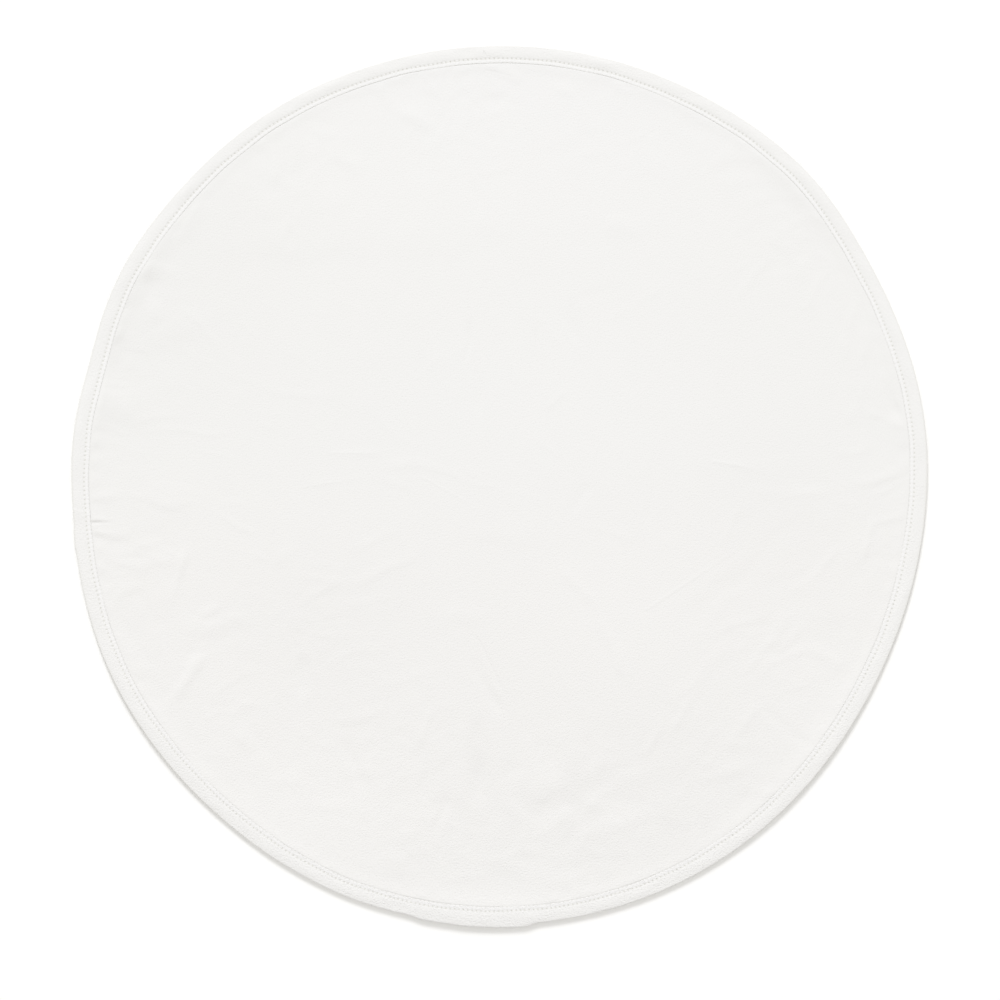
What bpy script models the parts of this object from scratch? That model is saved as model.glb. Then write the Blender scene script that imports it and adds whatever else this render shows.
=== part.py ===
"""Round blanket: a soft cloth disc with a folded binding round its edge, lying flat on a surface.

Units are metres, +Z is up. The origin is under the middle of the blanket's outline, on the surface it lies on.
"""

import math
from collections import namedtuple

import bmesh
import bpy

# Outline: an oval a little longer along Y, made uneven by the bumps and hollows of a sewn edge
HALF_WIDTH = 0.3942
HALF_LENGTH = 0.4058
SECTORS = 112

Bump = namedtuple("Bump", "angle rise width")
OUTLINE_BUMPS = (
    Bump(angle=10, rise=0.0027, width=10),
    Bump(angle=44, rise=0.0036, width=7),
    Bump(angle=54, rise=0.0015, width=7),
    Bump(angle=93, rise=-0.0023, width=12),
    Bump(angle=108, rise=-0.0010, width=6),
    Bump(angle=149, rise=0.0021, width=6),
    Bump(angle=164, rise=-0.0020, width=4),
    Bump(angle=184, rise=-0.0012, width=4),
    Bump(angle=206, rise=0.0017, width=7),
    Bump(angle=231, rise=-0.0009, width=6),
    Bump(angle=251, rise=0.0008, width=4),
    Bump(angle=331, rise=-0.0037, width=15),
)

# The edge stands out evenly along one stretch at the foot of the outline
BULGE_MIDDLE = 266.0
BULGE_HALF = 7.5
BULGE_RISE = 0.0030
BULGE_SIDE = 1.5

# Thicknesses of the two cloths, and the space kept between the two pieces
SHEET = 0.0034
PRESSED_SHEET = 0.0018
LOWER_FLAP = 0.0011
FOLD_WALL = 0.0019
GAP = 0.0003

# Binding: a strip folded over the edge, full over the raw edge and drawn down along the sewn row
BINDING_WIDTH = 0.0157
STITCH_INSET = 0.0116
FOLD_MIDDLE = 0.0027
FOLD_SIDE_INSET = 0.0008
FOLD_SIDE_RISE = 0.0015
FOOT_INSET = 0.0026
CROWN_INSET = 0.0060
CROWN_TOP = 0.0048
BROW_INSET = 0.0030
BROW_TOP = 0.0047
SLOPE_INSET = 0.0094
SLOPE_TOP = 0.0045
GROOVE_TOP = 0.0041
LIP_INSET = 0.0140
LIP_HALF = 0.0007
LIP_TOP = 0.0043
FLAP_EDGE_TOP = 0.0040

# Cloth: lifted onto the lower flap at its edge, a little full just inside the binding, then flat
EDGE_ZONE = 0.0300
LIFT_START = 0.0175
PRESSED_START = 0.0162
FULLNESS = 0.0002
INNER_RINGS = 18

# Both pieces are first turned as plain rounds of this radius, then laid to the outline
TURNED_RADIUS = 0.4000
MERGE = 0.00005
CREASE_ANGLE = 50.0

# Long swells of the edge, which lift the binding and the cloth in it together
Wave = namedtuple("Wave", "angle rise width")
EDGE_WAVES = (
    Wave(angle=44, rise=0.0012, width=8),
    Wave(angle=149, rise=0.0014, width=7),
    Wave(angle=172, rise=0.0010, width=6),
    Wave(angle=214, rise=0.0008, width=9),
    Wave(angle=266, rise=0.0010, width=8),
    Wave(angle=318, rise=0.0008, width=10),
)

# Main folds of the cloth: soft ridges, each a bowed line with its rise and the reach of its two sides.
# Seen from start to end, left and right are the reaches on those sides of the line.
Fold = namedtuple("Fold", "start end bow rise left right")
MAIN_FOLDS = (
    Fold(start=(-0.310, 0.226), end=(0.060, 0.240), bow=0.004, rise=0.0016, left=0.075, right=0.036),
    Fold(start=(-0.330, 0.200), end=(-0.290, 0.190), bow=0.000, rise=0.0010, left=0.022, right=0.026),
    Fold(start=(-0.350, 0.152), end=(-0.275, 0.146), bow=0.002, rise=0.0012, left=0.026, right=0.030),
    Fold(start=(-0.372, 0.088), end=(-0.300, 0.078), bow=0.002, rise=0.0014, left=0.034, right=0.036),
    Fold(start=(-0.372, -0.006), end=(-0.262, -0.016), bow=0.002, rise=0.0012, left=0.026, right=0.024),
    Fold(start=(-0.290, -0.126), end=(-0.225, -0.120), bow=0.002, rise=0.0012, left=0.028, right=0.030),
    Fold(start=(-0.275, -0.150), end=(-0.298, -0.200), bow=0.000, rise=0.0009, left=0.024, right=0.024),
    Fold(start=(-0.150, -0.095), end=(-0.070, -0.056), bow=0.002, rise=0.0010, left=0.028, right=0.024),
    Fold(start=(-0.155, -0.214), end=(-0.095, -0.206), bow=0.002, rise=0.0014, left=0.028, right=0.024),
    Fold(start=(-0.180, -0.292), end=(-0.122, -0.298), bow=0.000, rise=0.0012, left=0.026, right=0.024),
    Fold(start=(-0.112, -0.344), end=(-0.050, -0.300), bow=0.004, rise=0.0012, left=0.026, right=0.026),
    Fold(start=(0.010, -0.304), end=(0.085, -0.244), bow=0.006, rise=0.0024, left=0.042, right=0.030),
    Fold(start=(0.058, -0.330), end=(0.185, -0.284), bow=0.004, rise=0.0020, left=0.026, right=0.026),
    Fold(start=(-0.016, -0.346), end=(0.034, -0.334), bow=0.000, rise=0.0012, left=0.024, right=0.022),
    Fold(start=(0.190, -0.272), end=(0.232, -0.256), bow=0.000, rise=0.0014, left=0.026, right=0.024),
    Fold(start=(0.054, -0.068), end=(0.120, -0.190), bow=0.004, rise=0.0010, left=0.026, right=0.026),
    Fold(start=(0.168, -0.196), end=(0.268, -0.110), bow=0.004, rise=0.0016, left=0.030, right=0.034),
    Fold(start=(0.190, -0.088), end=(0.242, -0.054), bow=0.000, rise=0.0012, left=0.026, right=0.030),
    Fold(start=(0.205, 0.018), end=(0.262, 0.006), bow=0.000, rise=0.0012, left=0.026, right=0.024),
    Fold(start=(0.270, -0.002), end=(0.372, 0.022), bow=-0.004, rise=0.0015, left=0.028, right=0.024),
    Fold(start=(0.248, 0.224), end=(0.292, 0.252), bow=0.000, rise=0.0014, left=0.026, right=0.024),
    Fold(start=(0.200, 0.292), end=(0.246, 0.300), bow=0.000, rise=0.0010, left=0.024, right=0.024),
)

Section = namedtuple("Section", "inset height")


def clear_objects():
    for thing in list(bpy.data.objects):
        bpy.data.objects.remove(thing, do_unlink=True)


def make_collection(name):
    collection = bpy.data.collections.new(name)
    bpy.context.scene.collection.children.link(collection)
    return collection


def make_material(name, colour, roughness):
    material = bpy.data.materials.new(name)
    material.use_nodes = True
    shader = material.node_tree.nodes["Principled BSDF"]
    shader.inputs["Base Color"].default_value = (*colour, 1.0)
    shader.inputs["Roughness"].default_value = roughness
    shader.inputs["Metallic"].default_value = 0.0
    return material


def turn_between(angle, other):
    """Degrees from other to angle, the short way round."""
    return (angle - other + 180.0) % 360.0 - 180.0


def round_hump(distance, width):
    return math.exp(-0.5 * (distance / width) ** 2)


def soft_hump(distance, reach):
    """One at no distance, falling smoothly to exactly zero at the reach."""
    share = min(abs(distance) / reach, 1.0)
    return 0.5 + 0.5 * math.cos(math.pi * share)


def smooth_share(share):
    """Eases from zero to one as the share does."""
    share = min(max(share, 0.0), 1.0)
    return share * share * (3.0 - 2.0 * share)


def outline_radius(angle):
    """Distance from the oval's middle to the outer edge, in a direction given in degrees."""
    turn = math.radians(angle)
    radius = 1.0 / math.hypot(math.cos(turn) / HALF_WIDTH, math.sin(turn) / HALF_LENGTH)
    for bump in OUTLINE_BUMPS:
        radius += bump.rise * round_hump(turn_between(angle, bump.angle), bump.width)
    from_middle = turn_between(angle, BULGE_MIDDLE)
    rising = math.tanh((from_middle + BULGE_HALF) / BULGE_SIDE)
    falling = math.tanh((from_middle - BULGE_HALF) / BULGE_SIDE)
    return radius + BULGE_RISE * 0.5 * (rising - falling)


def outline_middle():
    """Middle of the outline's box, seen from the oval's middle."""
    points = []
    for step in range(SECTORS):
        angle = 360.0 * step / SECTORS
        radius = outline_radius(angle)
        points.append((radius * math.cos(math.radians(angle)), radius * math.sin(math.radians(angle))))
    across = [point[0] for point in points]
    along = [point[1] for point in points]
    return 0.5 * (min(across) + max(across)), 0.5 * (min(along) + max(along))


def edge_lift(angle):
    return sum(wave.rise * soft_hump(turn_between(angle, wave.angle), 2.0 * wave.width) for wave in EDGE_WAVES)


def fold_lift(x, y):
    """Height that the main folds raise the cloth to at one place."""
    lift = 0.0
    for fold in MAIN_FOLDS:
        run_x = fold.end[0] - fold.start[0]
        run_y = fold.end[1] - fold.start[1]
        length = math.hypot(run_x, run_y)
        along = ((x - fold.start[0]) * run_x + (y - fold.start[1]) * run_y) / length
        aside = (run_x * (y - fold.start[1]) - run_y * (x - fold.start[0])) / length
        part = min(max(along / length, 0.0), 1.0)
        aside -= fold.bow * 4.0 * part * (1.0 - part)
        past_end = max(-along, along - length, 0.0)
        reach = fold.left if aside > 0.0 else fold.right
        here = fold.rise * soft_hump(aside, reach) * soft_hump(past_end, 0.5 * (fold.left + fold.right))
        lift = max(lift, here)
    return lift


def lay_out(bm):
    """Moves a turned shape from its plain round to the blanket's own outline, and adds the lifts."""
    middle_x, middle_y = outline_middle()
    for vert in bm.verts:
        radius = math.hypot(vert.co.x, vert.co.y)
        angle = math.degrees(math.atan2(vert.co.y, vert.co.x))
        inset = TURNED_RADIUS - radius
        edge = outline_radius(angle)
        if inset <= EDGE_ZONE:
            radius = edge - inset
        else:
            radius *= (edge - EDGE_ZONE) / (TURNED_RADIUS - EDGE_ZONE)
        vert.co.x = radius * math.cos(math.radians(angle)) - middle_x
        vert.co.y = radius * math.sin(math.radians(angle)) - middle_y
        inner = smooth_share((inset - LIFT_START) / (2.0 * EDGE_ZONE - LIFT_START))
        vert.co.z += (1.0 - inner) * edge_lift(angle) + inner * fold_lift(vert.co.x, vert.co.y)


def turned_piece(name, section, closed, material, collection):
    """Turns a section, given as insets from the outer edge and heights, and lays it to the outline."""
    points = [(TURNED_RADIUS - point.inset, 0.0, point.height) for point in section]
    edges = [(index, index + 1) for index in range(len(points) - 1)]
    if closed:
        edges.append((len(points) - 1, 0))
    profile = bpy.data.meshes.new(name + "_section")
    profile.from_pydata(points, edges, [])
    piece = bpy.data.objects.new(name, profile)
    collection.objects.link(piece)
    turn = piece.modifiers.new("turn", "SCREW")
    turn.steps = SECTORS
    turn.render_steps = SECTORS
    turn.use_merge_vertices = True
    turn.merge_threshold = MERGE
    turned = bpy.data.meshes.new_from_object(piece.evaluated_get(bpy.context.evaluated_depsgraph_get()))
    piece.modifiers.clear()
    bm = bmesh.new()
    bm.from_mesh(turned)
    bmesh.ops.remove_doubles(bm, verts=bm.verts, dist=MERGE)
    lay_out(bm)
    bmesh.ops.triangulate(bm, faces=bm.faces)
    bm.to_mesh(turned)
    bm.free()
    turned.name = name
    turned.shade_smooth()
    turned.set_sharp_from_angle(angle=math.radians(CREASE_ANGLE))
    turned.materials.append(material)
    piece.data = turned
    bpy.data.meshes.remove(profile)
    return piece


def cloth_section():
    """Half section of the cloth from its middle over the top to the cut edge and back below."""
    pressed_low = LOWER_FLAP + GAP
    pressed_top = pressed_low + PRESSED_SHEET
    inner_radius = TURNED_RADIUS - EDGE_ZONE
    insets = [TURNED_RADIUS - inner_radius * ring / INNER_RINGS for ring in range(INNER_RINGS + 1)]
    halfway = 0.5 * (LIFT_START + EDGE_ZONE)
    top = [Section(inset, SHEET) for inset in insets]
    top.append(Section(halfway, 0.5 * (SHEET + pressed_top) + FULLNESS))
    top.append(Section(PRESSED_START, pressed_top))
    top.append(Section(FOLD_WALL + GAP, pressed_top))
    below = [Section(inset, 0.0) for inset in insets]
    below.append(Section(halfway, 0.5 * pressed_low))
    below.append(Section(LIFT_START, pressed_low))
    below.append(Section(FOLD_WALL + GAP, pressed_low))
    return top + below[::-1]


def binding_section():
    """Closed section of the folded strip: its top inwards to outwards, its underside, then its inside."""
    flap_low = LOWER_FLAP + PRESSED_SHEET + 2.0 * GAP
    return [
        Section(BINDING_WIDTH, FLAP_EDGE_TOP),
        Section(LIP_INSET + LIP_HALF, LIP_TOP),
        Section(LIP_INSET - LIP_HALF, LIP_TOP),
        Section(STITCH_INSET, GROOVE_TOP),
        Section(SLOPE_INSET, SLOPE_TOP),
        Section(CROWN_INSET, CROWN_TOP),
        Section(BROW_INSET, BROW_TOP),
        Section(FOLD_SIDE_INSET, FOLD_MIDDLE + FOLD_SIDE_RISE),
        Section(0.0, FOLD_MIDDLE),
        Section(FOLD_SIDE_INSET, FOLD_MIDDLE - FOLD_SIDE_RISE),
        Section(FOOT_INSET, 0.0),
        Section(BINDING_WIDTH, 0.0),
        Section(BINDING_WIDTH, LOWER_FLAP),
        Section(FOLD_WALL, LOWER_FLAP),
        Section(FOLD_WALL, flap_low),
        Section(BINDING_WIDTH, flap_low),
    ]


def build_blanket():
    clear_objects()
    parts = make_collection("round_blanket")
    cloth_look = make_material("brushed_cotton", (0.86, 0.85, 0.82), 0.95)
    binding_look = make_material("binding_cotton", (0.87, 0.86, 0.84), 0.85)
    turned_piece("cloth", cloth_section(), False, cloth_look, parts)
    turned_piece("binding", binding_section(), True, binding_look, parts)


build_blanket()
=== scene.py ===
import math
from collections import namedtuple

import bpy
import numpy as np
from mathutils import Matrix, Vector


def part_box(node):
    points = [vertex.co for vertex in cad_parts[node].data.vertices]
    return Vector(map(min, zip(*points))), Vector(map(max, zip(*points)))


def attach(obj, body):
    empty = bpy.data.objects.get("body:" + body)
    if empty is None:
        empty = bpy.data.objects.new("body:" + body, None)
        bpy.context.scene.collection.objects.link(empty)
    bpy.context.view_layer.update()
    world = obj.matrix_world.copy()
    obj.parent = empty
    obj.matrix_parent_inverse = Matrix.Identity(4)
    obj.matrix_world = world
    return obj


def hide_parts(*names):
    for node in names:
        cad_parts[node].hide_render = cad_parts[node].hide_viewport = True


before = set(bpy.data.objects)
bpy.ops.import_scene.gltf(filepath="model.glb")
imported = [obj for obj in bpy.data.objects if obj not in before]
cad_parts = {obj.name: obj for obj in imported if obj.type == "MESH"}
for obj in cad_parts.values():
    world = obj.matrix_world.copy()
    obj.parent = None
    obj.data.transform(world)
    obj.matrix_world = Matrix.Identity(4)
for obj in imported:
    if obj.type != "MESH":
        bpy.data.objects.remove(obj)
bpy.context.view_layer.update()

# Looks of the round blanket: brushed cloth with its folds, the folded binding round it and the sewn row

MM = 0.001

# Outline: an oval made uneven by the bumps and hollows of a sewn edge. Angles are in degrees from +X.
# Columns: angle, rise, width
Bump = namedtuple("Bump", "angle rise width")
OUTLINE_BUMPS = (
    Bump(10, 2.7, 10),
    Bump(44, 3.6, 7),
    Bump(54, 1.5, 7),
    Bump(93, -2.3, 12),
    Bump(108, -1.0, 6),
    Bump(149, 2.1, 6),
    Bump(164, -2.0, 4),
    Bump(184, -1.2, 4),
    Bump(206, 1.7, 7),
    Bump(231, -0.9, 6),
    Bump(251, 0.8, 4),
    Bump(331, -3.7, 15),
)

# Stretches where the edge stands out evenly between two steps
Stretch = namedtuple("Stretch", "middle half rise side")
OUTLINE_STRETCHES = (
    Stretch(middle=266.8, half=7.6, rise=2.1, side=0.7),
    Stretch(middle=269.4, half=4.9, rise=0.6, side=0.4),
    Stretch(middle=187.5, half=1.4, rise=0.8, side=0.4),
)

# Long swells that lift the binding and the cloth in it together. Columns: angle, rise, width
EDGE_WAVES = (
    Bump(44, 1.2, 8),
    Bump(149, 1.4, 7),
    Bump(172, 1.0, 6),
    Bump(214, 0.8, 9),
    Bump(266, 1.0, 8),
    Bump(318, 0.8, 10),
)

# Cloth and binding sizes, in millimetres
SHEET = 3.4
PRESSED_LOW = 1.4
CUT_EDGE = 2.2
BINDING_WIDTH = 15.7
STITCH_INSET = 11.6

# Binding section: the top from the inner edge to the outer fold, the underside, then the inside walls
Section = namedtuple("Section", "inset height")
BINDING_TOP = (
    Section(15.72, 3.62),
    Section(15.72, 3.74),
    Section(15.67, 3.84),
    Section(15.52, 3.93),
    Section(15.20, 4.01),
    Section(14.70, 4.07),
    Section(14.00, 4.11),
    Section(13.10, 4.09),
    Section(12.40, 4.03),
    Section(11.90, 3.97),
    Section(11.60, 3.95),
    Section(11.35, 3.98),
    Section(11.00, 4.10),
    Section(10.55, 4.22),
    Section(9.80, 4.35),
    Section(8.60, 4.49),
    Section(7.20, 4.58),
    Section(5.80, 4.61),
    Section(4.60, 4.59),
    Section(3.60, 4.54),
    Section(2.60, 4.46),
    Section(1.70, 4.37),
    Section(1.00, 4.28),
    Section(0.52, 4.18),
    Section(0.22, 4.01),
    Section(0.06, 3.66),
    Section(0.00, 2.70),
)
BINDING_UNDER = (
    Section(0.30, 1.66),
    Section(1.00, 0.80),
    Section(2.20, 0.20),
    Section(4.00, 0.00),
    Section(10.20, 0.00),
    Section(11.60, 0.35),
    Section(13.00, 0.00),
    Section(15.70, 0.00),
)
BINDING_INSIDE = (
    Section(15.70, 1.10),
    Section(8.00, 1.10),
    Section(1.90, 1.10),
    Section(1.90, 3.50),
    Section(8.00, 3.50),
    Section(15.60, 3.62),
)

# Cloth mesh: rings of a square grid laid to the outline, fine above and coarse below
TOP_RINGS = 148
UNDER_RINGS = 37
EDGE_INSETS = (27.5, 25.2, 23.2, 21.4, 19.8, 18.3, 17.1, 16.55, 16.25, 14.2, CUT_EDGE)
UNDER_INSETS = (28.0, 17.9, CUT_EDGE)

# Folds of the cloth, in millimetres from the blanket's middle. Each is a bowed line that swells up, or
# sinks where its rise is negative, and fades at both ends. Left and right are how far its two sides
# reach, seen from start to end.
# Columns: from x, from y, to x, to y, bow, rise, left, right
Fold = namedtuple("Fold", "x y to_x to_y bow rise left right")
TOP_FOLDS = (
    (-330, 226, 80, 240, 4, 0.60, 75, 36),
    (-194, 334, -146, 334, 0, -0.45, 9, 9),
    (-302, 219, -270, 271, 0, 0.35, 6, 20),
    (-340, 205, -286, 194, 0, 0.45, 10, 12),
    (-324, 200, -315, 160, 0, -0.35, 6, 8),
    (-160, 313, -122, 284, 0, 0.28, 16, 9),
    (-206, 310, -210, 276, 0, 0.25, 8, 8),
    (-194, 241, -193, 218, 0, -0.15, 4, 4),
    (-297, 170, -256, 127, 0, 0.16, 4, 3.5),
    (-245, 153, -218, 135, 0, 0.14, 4, 3.5),
    (-178, 163, -148, 158, 0, 0.12, 4, 3.5),
    (-152, 171, -124, 156, 0, 0.12, 4, 3.5),
    (-20, 388, 30, 374, 0, 0.50, 7, 5),
    (-72, 381, -53, 356, 0, 0.30, 5, 4),
    (-76, 372, -59, 359, 0, 0.18, 4, 3.5),
    (-30, 352, 12, 362, 0, -0.50, 9, 14),
    (-96, 352, -58, 326, 0, 0.28, 12, 8),
    (-120, 370, -98, 346, 0, 0.28, 10, 6),
    (-22, 288, 18, 295, 0, 0.18, 6, 4),
    (-28, 284, -19, 246, 0, -0.20, 7, 7),
    (38, 217, 112, 225, 0, -0.10, 4, 3.5),
    (90, 242, 136, 234, 0, 0.40, 16, 12),
    (64, 171, 120, 188, 0, -0.24, 5, 10),
    (22, 160, 62, 127, 2, 0.16, 4, 4),
    (-27, 160, -31, 110, 0, -0.18, 5, 5),
    (95, 152, 127, 166, 0, 0.12, 4, 3.5),
    (114, 164, 162, 189, 1, 0.14, 4, 3.5),
    (65, 176, 73, 126, 0, -0.16, 7, 7),
    (48, 367, 70, 361, 0, 0.28, 8, 7),
    (100, 370, 126, 363, 0, 0.40, 8, 8),
)
RIGHT_FOLDS = (
    (160, 333, 214, 325, 0, -0.50, 12, 12),
    (184, 295, 262, 310, 1, 0.50, 14, 9),
    (192, 282, 272, 281, 0, 0.38, 9, 9),
    (216, 257, 296, 272, 0, 0.38, 9, 7),
    (238, 218, 310, 260, 3, 0.90, 13, 9),
    (210, 158, 258, 226, 0, 0.18, 6, 4),
    (206, 231, 246, 254, -1, 0.22, 5, 4),
    (276, 151, 304, 203, 1, 0.32, 6, 4.5),
    (246, 152, 284, 154, 0, 0.12, 4, 3.5),
    (238, 121, 296, 143, 0, 0.28, 10, 8),
    (316, 110, 332, 180, 2, 0.34, 6, 7),
    (333, 106, 342, 158, 0, 0.38, 6, 6),
    (356, 106, 368, 56, 0, -0.65, 7, 8),
    (334, 77, 380, 52, -6, 0.34, 6, 4),
    (323, 52, 344, 108, 2, 0.32, 5, 4),
    (295, 42, 330, 41, 0, 0.14, 4, 3.5),
    (306, 31, 346, 37, -2, 0.34, 7, 5),
    (198, 22, 262, 12, 0, 0.55, 9, 6),
    (218, 4, 268, -2, 0, -0.25, 6, 10),
    (243, 20, 264, 24, 0, 0.14, 4, 3.5),
    (214, -3, 326, -3, -3, 0.40, 10, 6),
    (294, -8, 392, 22, -3, 0.90, 12, 6),
    (330, -15, 386, 14, -1, 0.38, 5, 5),
    (350, -16, 390, 2, 0, 0.34, 5, 5),
    (340, -39, 390, -15, -1, 0.60, 8, 5),
    (330, -76, 348, -22, -2, 0.44, 6, 5),
    (204, -56, 218, -20, 0, 0.28, 6, 4),
    (152, -142, 294, -16, 0, -0.32, 13, 16),
    (182, -94, 246, -53, 0, 0.22, 7, 10),
    (242, -100, 290, -75, 0, -0.55, 10, 12),
    (190, -140, 258, -112, 0, 0.40, 8, 7),
    (284, -94, 316, -49, 0, 0.38, 6, 5),
    (266, -8, 340, -5, 0, 0.75, 8, 45),
    (285, -118, 356, -116, 0, 0.50, 14, 18),
    (138, -47, 172, -51, 0, 0.34, 10, 12),
    (143, 42, 135, -56, 0, -0.24, 6, 6),
)
MIDDLE_FOLDS = (
    (-81, 95, -47, 126, 0, 0.14, 4, 3.5),
    (-117, 70, -87, 44, -1, 0.15, 4, 3.5),
    (-104, 49, -81, 38, 0, 0.12, 4, 3.5),
    (-116, 17, -22, 3, 7, 0.32, 7, 6),
    (-40, 8, 36, -14, 1, 0.24, 6, 4.5),
    (-28, 17, -12, 4, 0, 0.12, 4, 3.5),
    (-6, -3, 26, -30, 0, 0.14, 5, 4),
    (-184, -2, -114, 9, 1, 0.26, 5, 3.5),
    (-122, 11, -76, -5, 2, 0.18, 4, 7),
    (-156, 31, -104, 31, -1, 0.34, 7, 4.5),
    (42, 69, 65, 90, 0, 0.24, 4, 4),
    (34, 148, 34, 102, 0, -0.16, 5, 5),
    (24, 56, 56, 22, 0, 0.14, 5, 4),
    (-30, 124, -15, 56, 2, -0.16, 6, 6),
    (59, -32, 88, 5, 2, -0.28, 8, 5),
    (72, -34, 126, -51, 0, 0.22, 5, 4),
    (-38, -43, 48, -46, 0, 0.45, 22, 14),
    (-134, -61, -90, -38, 0, 0.34, 7, 5),
    (-80, -85, -52, -86, 0, 0.28, 5, 4),
    (-54, -90, -29, -77, 0, 0.14, 4, 4),
    (49, -65, 96, -123, 1, 0.38, 9, 7),
    (87, -112, 124, -198, 2, 0.42, 9, 8),
    (-56, -117, -6, -123, 0, 0.55, 16, 16),
    (-154, -102, -60, -53, 0, 0.26, 11, 7),
    (-146, -110, -94, -101, 0, 0.44, 7, 5),
    (-198, -115, -142, -87, 0, 0.38, 9, 7),
    (-188, -86, -146, -91, 0, 0.34, 9, 7),
    (-231, -62, -209, -71, 0, 0.20, 5, 4),
    (-210, -76, -185, -55, 0, 0.20, 5, 4),
    (-270, 33, -235, 18, 0, 0.15, 4, 3.5),
    (-222, 64, -209, 50, 0, 0.14, 4, 3.5),
    (-290, 124, -215, 87, 0, 0.22, 5, 4),
    (-234, 93, -140, 82, -1, 0.22, 7, 8),
    (-296, 135, -268, 98, 0, 0.12, 4, 3.5),
    (-265, 104, -231, 75, 0, 0.10, 4, 3.5),
    (-206, 132, -166, 104, 0, 0.14, 4, 3.5),
)
LEFT_FOLDS = (
    (-380, 154, -258, 146, 0, 0.50, 24, 26),
    (-386, 123, -270, 118, 0, -0.40, 22, 24),
    (-356, 132, -318, 123, 0, 0.22, 5, 4),
    (-380, 100, -332, 89, 0, 0.28, 6, 5),
    (-400, 82, -306, 76, 0, 1.00, 27, 30),
    (-392, 54, -334, 49, 0, 0.28, 7, 4),
    (-334, 51, -238, 50, 0, 0.18, 6, 4),
    (-340, 61, -290, 65, 0, 0.28, 6, 4),
    (-404, -8, -254, -19, 2, 0.90, 12, 8),
    (-350, 4, -254, -12, 1, 0.28, 8, 5),
    (-262, -17, -228, -17, 0, 0.28, 6, 4),
    (-274, -20, -218, -46, 0, 0.22, 5, 4),
    (-400, -28, -350, -29, 0, 0.65, 5, 4),
    (-404, -40, -336, -43, 0, 0.30, 7, 6),
    (-400, -50, -330, -50, 0, -0.45, 6, 20),
    (-360, -70, -292, -70, 0, 0.44, 10, 9),
    (-344, -58, -306, -52, 0, 0.28, 7, 6),
    (-306, -122, -286, -48, 0, 0.34, 6, 5),
    (-358, -110, -328, -88, 0, 0.28, 6, 5),
    (-338, -91, -315, -124, 0, -0.22, 5, 5),
    (-302, -128, -222, -123, 0, 0.50, 12, 15),
    (-282, -120, -254, -106, 0, 0.34, 8, 6),
    (-356, -130, -322, -182, 0, 0.30, 14, 12),
    (-308, -212, -268, -141, 0, 0.42, 8, 9),
)
LOWER_LEFT_FOLDS = (
    (-272, -198, -225, -163, -1, 0.32, 6, 4),
    (-276, -219, -252, -202, 0, 0.18, 5, 4),
    (-252, -210, -220, -198, 0, 0.34, 9, 9),
    (-248, -223, -220, -245, 0, 0.34, 10, 8),
    (-234, -256, -229, -294, 0, -0.22, 5, 5),
    (-214, -271, -178, -275, 0, 0.55, 14, 12),
    (-188, -219, -145, -244, -4, 0.30, 5, 3.5),
    (-162, -217, -90, -208, 2, 0.85, 12, 7),
    (-182, -150, -183, -204, 0, -0.45, 9, 9),
    (-160, -163, -90, -145, 1, 0.44, 8, 5),
    (-134, -169, -106, -173, 0, 0.32, 7, 6),
    (-144, -232, -122, -286, 0, -0.38, 9, 9),
    (-146, -262, -106, -262, 0, 0.55, 10, 8),
    (-192, -295, -116, -299, 0, 0.55, 14, 9),
    (-156, -311, -116, -318, 0, 0.55, 6, 5),
    (-182, -183, -150, -192, 0, -0.12, 4, 4),
)
LOWER_FOLDS = (
    (-126, -187, -50, -169, 1, 0.36, 7, 5),
    (-82, -177, -46, -188, 0, 0.22, 5, 4),
    (-83, -248, -54, -203, 2, 0.34, 6, 5),
    (-56, -211, -32, -199, 0, 0.22, 5, 4),
    (-22, -140, 7, -196, 1, -0.38, 4.5, 4.5),
    (0, -187, 23, -189, 0, 0.22, 5, 4),
    (-30, -152, 6, -218, 0, -0.55, 8, 8),
    (-20, -206, -20, -296, 0, -0.85, 13, 13),
    (-24, -216, -6, -248, 0, -0.32, 5, 5),
    (-67, -257, -67, -295, 0, -0.55, 7, 7),
    (-41, -262, -65, -328, 0, -0.50, 8, 8),
    (-122, -350, -64, -334, 0, 0.75, 9, 7),
    (-108, -327, -64, -317, 0, 0.55, 10, 8),
    (-6, -312, 106, -232, 5, 0.60, 26, 18),
    (12, -330, 112, -260, 3, -0.30, 18, 18),
    (42, -332, 206, -286, 3, 0.80, 18, 12),
    (70, -341, 138, -335, 0, 0.44, 6, 5),
    (-22, -348, 46, -335, 0, 0.85, 10, 8),
    (-56, -358, 4, -362, 0, 0.55, 7, 5),
    (38, -370, 86, -356, 0, 0.44, 7, 5),
    (79, -226, 87, -258, 0, -0.44, 6, 6),
    (99, -235, 113, -251, 0, 0.34, 6, 6),
    (70, -246, 108, -273, 0, -0.14, 4, 4),
    (8, -237, 44, -241, 0, 0.50, 14, 14),
    (42, -227, 84, -227, 0, 0.18, 6, 4),
    (-43, -303, -33, -322, 0, -0.24, 4, 4),
    (89, -282, 111, -282, 0, 0.28, 5, 4),
)
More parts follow.
